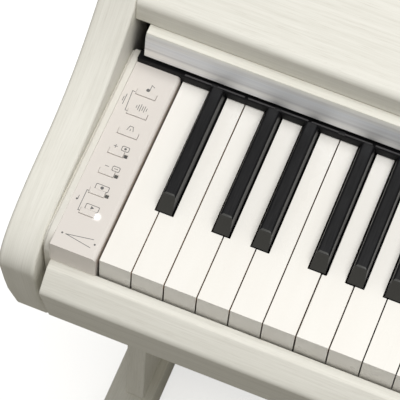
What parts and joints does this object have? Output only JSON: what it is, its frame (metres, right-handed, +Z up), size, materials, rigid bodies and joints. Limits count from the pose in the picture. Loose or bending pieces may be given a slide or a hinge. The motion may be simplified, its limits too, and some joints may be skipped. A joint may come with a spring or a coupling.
{
  "type": "digital piano on stand",
  "caption": "Console digital piano with a full weighted keyboard, sliding key cover, folding music rest, panel stand and pedal box.",
  "frame": {"origin": "on the floor, under the middle of the instrument's width and depth", "axes": "+X to the player's right, +Y away from the player, +Z up"},
  "size_m": [1.357, 0.422, 0.815],
  "materials": {
    "ash_wood": "pale open-grained veneer, matt",
    "panel_plastic": "satin moulded plastic",
    "white_key": "semi-gloss",
    "black_key": "satin",
    "dark_plastic": "matt",
    "speaker_metal": "black paint",
    "hammer_metal": "moulded lever with steel weight",
    "steel": "zinc plated",
    "circuit_board": "solder mask",
    "satin_metal": "satin",
    "pedal_brass": "polished"
  },
  "bodies": {
    "cabinet": {"side_board_left": "ash_wood", "side_board_right": "ash_wood", "keybed": "ash_wood", "key_slip": "ash_wood", "top_board": "ash_wood", "rear_cover": "ash_wood", "cover_rails": "panel_plastic", "control_panel": "panel_plastic", "end_block_right": "panel_plastic", "key_stop_rail": "dark_plastic", "key_chassis": "steel", "pivot_rods": "steel", "hammers": "hammer_metal", "circuit_boards": "circuit_board", "speakers": "speaker_metal", "speaker_grilles": "dark_plastic", "headphone_jacks": "dark_plastic", "rear_sockets": "dark_plastic", "cabinet_screws": "steel", "music_rest_hinges": "steel", "stand_side_left": "ash_wood", "stand_side_right": "ash_wood", "foot_left": "ash_wood", "foot_right": "ash_wood", "stand_back_panel": "ash_wood", "pedal_box": "ash_wood"},
    "key_cover": {"key_cover": "ash_wood", "key_cover_edge": "satin_metal"},
    "music_rest": {"music_rest": "ash_wood"},
    "button_demo": {"button_demo": "panel_plastic"},
    "button_voice": {"button_voice": "panel_plastic"},
    "button_metronome": {"button_metronome": "panel_plastic"},
    "button_plus": {"button_plus": "panel_plastic"},
    "button_minus": {"button_minus": "panel_plastic"},
    "button_record": {"button_record": "panel_plastic"},
    "button_play": {"button_play": "panel_plastic"},
    "power_button": {"power_button": "panel_plastic"},
    "volume_slider": {"volume_slider": "dark_plastic"},
    "key_a0": {"key_a0": "white_key"},
    "key_as0": {"key_as0": "black_key"},
    "key_b0": {"key_b0": "white_key"},
    "key_c1": {"key_c1": "white_key"},
    "key_cs1": {"key_cs1": "black_key"},
    "key_d1": {"key_d1": "white_key"},
    "key_ds1": {"key_ds1": "black_key"},
    "key_e1": {"key_e1": "white_key"},
    "key_f1": {"key_f1": "white_key"},
    "key_fs1": {"key_fs1": "black_key"},
    "key_g1": {"key_g1": "white_key"},
    "key_gs1": {"key_gs1": "black_key"},
    "key_a1": {"key_a1": "white_key"},
    "key_as1": {"key_as1": "black_key"},
    "key_b1": {"key_b1": "white_key"},
    "white_keys_upper": {"white_keys_upper": "white_key"},
    "black_keys_upper": {"black_keys_upper": "black_key"},
    "pedal_left": {"pedal_left": "pedal_brass"},
    "pedal_middle": {"pedal_middle": "pedal_brass"},
    "pedal_right": {"pedal_right": "pedal_brass"},
    "pedal_box_leveller": {"pedal_box_leveller": "dark_plastic"}
  },
  "joints": [
    {"name": "cover_slide", "type": "slide", "parent": "cabinet", "child": "key_cover", "axis": [0, -1, 0], "range_m": [0, 0.165]},
    {"name": "music_rest_hinge", "type": "hinge", "parent": "cabinet", "child": "music_rest", "pos_m": [0, 0.039, 0.804], "axis": [1, 0, 0], "range_deg": [0, 70]},
    {"name": "demo_press", "type": "slide", "parent": "cabinet", "child": "button_demo", "axis": [0, 0, -1], "range_m": [0, 0.001], "stiffness_N_per_m": 500, "springref_m": -0.001},
    {"name": "voice_press", "type": "slide", "parent": "cabinet", "child": "button_voice", "axis": [0, 0, -1], "range_m": [0, 0.001], "stiffness_N_per_m": 500, "springref_m": -0.001},
    {"name": "metronome_press", "type": "slide", "parent": "cabinet", "child": "button_metronome", "axis": [0, 0, -1], "range_m": [0, 0.001], "stiffness_N_per_m": 500, "springref_m": -0.001},
    {"name": "plus_press", "type": "slide", "parent": "cabinet", "child": "button_plus", "axis": [0, 0, -1], "range_m": [0, 0.001], "stiffness_N_per_m": 500, "springref_m": -0.001},
    {"name": "minus_press", "type": "slide", "parent": "cabinet", "child": "button_minus", "axis": [0, 0, -1], "range_m": [0, 0.001], "stiffness_N_per_m": 500, "springref_m": -0.001},
    {"name": "record_press", "type": "slide", "parent": "cabinet", "child": "button_record", "axis": [0, 0, -1], "range_m": [0, 0.001], "stiffness_N_per_m": 500, "springref_m": -0.001},
    {"name": "play_press", "type": "slide", "parent": "cabinet", "child": "button_play", "axis": [0, 0, -1], "range_m": [0, 0.001], "stiffness_N_per_m": 500, "springref_m": -0.001},
    {"name": "power_press", "type": "slide", "parent": "cabinet", "child": "power_button", "axis": [0, 0, -1], "range_m": [0, 0.001], "stiffness_N_per_m": 600, "springref_m": -0.001},
    {"name": "volume_slide", "type": "slide", "parent": "cabinet", "child": "volume_slider", "axis": [0, 1, 0], "range_m": [0, 0.046]},
    {"name": "a0_press", "type": "hinge", "parent": "cabinet", "child": "key_a0", "pos_m": [0, 0.012, 0.725], "axis": [1, 0, 0], "range_deg": [0, 2.8], "stiffness_Nm_per_rad": 0.25, "springref_deg": -45.84},
    {"name": "as0_press", "type": "hinge", "parent": "cabinet", "child": "key_as0", "pos_m": [0, 0.012, 0.725], "axis": [1, 0, 0], "range_deg": [0, 2.8], "stiffness_Nm_per_rad": 0.16, "springref_deg": -45.84},
    {"name": "b0_press", "type": "hinge", "parent": "cabinet", "child": "key_b0", "pos_m": [0, 0.012, 0.725], "axis": [1, 0, 0], "range_deg": [0, 2.8], "stiffness_Nm_per_rad": 0.25, "springref_deg": -45.84},
    {"name": "c1_press", "type": "hinge", "parent": "cabinet", "child": "key_c1", "pos_m": [0, 0.012, 0.725], "axis": [1, 0, 0], "range_deg": [0, 2.8], "stiffness_Nm_per_rad": 0.25, "springref_deg": -45.84},
    {"name": "cs1_press", "type": "hinge", "parent": "cabinet", "child": "key_cs1", "pos_m": [0, 0.012, 0.725], "axis": [1, 0, 0], "range_deg": [0, 2.8], "stiffness_Nm_per_rad": 0.16, "springref_deg": -45.84},
    {"name": "d1_press", "type": "hinge", "parent": "cabinet", "child": "key_d1", "pos_m": [0, 0.012, 0.725], "axis": [1, 0, 0], "range_deg": [0, 2.8], "stiffness_Nm_per_rad": 0.25, "springref_deg": -45.84},
    {"name": "ds1_press", "type": "hinge", "parent": "cabinet", "child": "key_ds1", "pos_m": [0, 0.012, 0.725], "axis": [1, 0, 0], "range_deg": [0, 2.8], "stiffness_Nm_per_rad": 0.16, "springref_deg": -45.84},
    {"name": "e1_press", "type": "hinge", "parent": "cabinet", "child": "key_e1", "pos_m": [0, 0.012, 0.725], "axis": [1, 0, 0], "range_deg": [0, 2.8], "stiffness_Nm_per_rad": 0.25, "springref_deg": -45.84},
    {"name": "f1_press", "type": "hinge", "parent": "cabinet", "child": "key_f1", "pos_m": [0, 0.012, 0.725], "axis": [1, 0, 0], "range_deg": [0, 2.8], "stiffness_Nm_per_rad": 0.25, "springref_deg": -45.84},
    {"name": "fs1_press", "type": "hinge", "parent": "cabinet", "child": "key_fs1", "pos_m": [0, 0.012, 0.725], "axis": [1, 0, 0], "range_deg": [0, 2.8], "stiffness_Nm_per_rad": 0.16, "springref_deg": -45.84},
    {"name": "g1_press", "type": "hinge", "parent": "cabinet", "child": "key_g1", "pos_m": [0, 0.012, 0.725], "axis": [1, 0, 0], "range_deg": [0, 2.8], "stiffness_Nm_per_rad": 0.25, "springref_deg": -45.84},
    {"name": "gs1_press", "type": "hinge", "parent": "cabinet", "child": "key_gs1", "pos_m": [0, 0.012, 0.725], "axis": [1, 0, 0], "range_deg": [0, 2.8], "stiffness_Nm_per_rad": 0.16, "springref_deg": -45.84},
    {"name": "a1_press", "type": "hinge", "parent": "cabinet", "child": "key_a1", "pos_m": [0, 0.012, 0.725], "axis": [1, 0, 0], "range_deg": [0, 2.8], "stiffness_Nm_per_rad": 0.25, "springref_deg": -45.84},
    {"name": "as1_press", "type": "hinge", "parent": "cabinet", "child": "key_as1", "pos_m": [0, 0.012, 0.725], "axis": [1, 0, 0], "range_deg": [0, 2.8], "stiffness_Nm_per_rad": 0.16, "springref_deg": -45.84},
    {"name": "b1_press", "type": "hinge", "parent": "cabinet", "child": "key_b1", "pos_m": [0, 0.012, 0.725], "axis": [1, 0, 0], "range_deg": [0, 2.8], "stiffness_Nm_per_rad": 0.25, "springref_deg": -45.84},
    {"name": "upper_whites_press", "type": "hinge", "parent": "cabinet", "child": "white_keys_upper", "pos_m": [0, 0.012, 0.725], "axis": [1, 0, 0], "range_deg": [0, 2.8], "stiffness_Nm_per_rad": 10.75, "springref_deg": -45.84},
    {"name": "upper_blacks_press", "type": "hinge", "parent": "cabinet", "child": "black_keys_upper", "pos_m": [0, 0.012, 0.725], "axis": [1, 0, 0], "range_deg": [0, 2.8], "stiffness_Nm_per_rad": 4.8, "springref_deg": -45.84},
    {"name": "left_pedal_press", "type": "hinge", "parent": "cabinet", "child": "pedal_left", "pos_m": [0, 0.114, 0.062], "axis": [1, 0, 0], "range_deg": [0, 5], "stiffness_Nm_per_rad": 20, "springref_deg": -5.73},
    {"name": "middle_pedal_press", "type": "hinge", "parent": "cabinet", "child": "pedal_middle", "pos_m": [0, 0.114, 0.062], "axis": [1, 0, 0], "range_deg": [0, 5], "stiffness_Nm_per_rad": 20, "springref_deg": -5.73},
    {"name": "right_pedal_press", "type": "hinge", "parent": "cabinet", "child": "pedal_right", "pos_m": [0, 0.114, 0.062], "axis": [1, 0, 0], "range_deg": [0, 5], "stiffness_Nm_per_rad": 20, "springref_deg": -5.73},
    {"name": "leveller_screw", "type": "slide", "parent": "cabinet", "child": "pedal_box_leveller", "axis": [0, 0, 1], "range_m": [0, 0.008]}
  ]
}
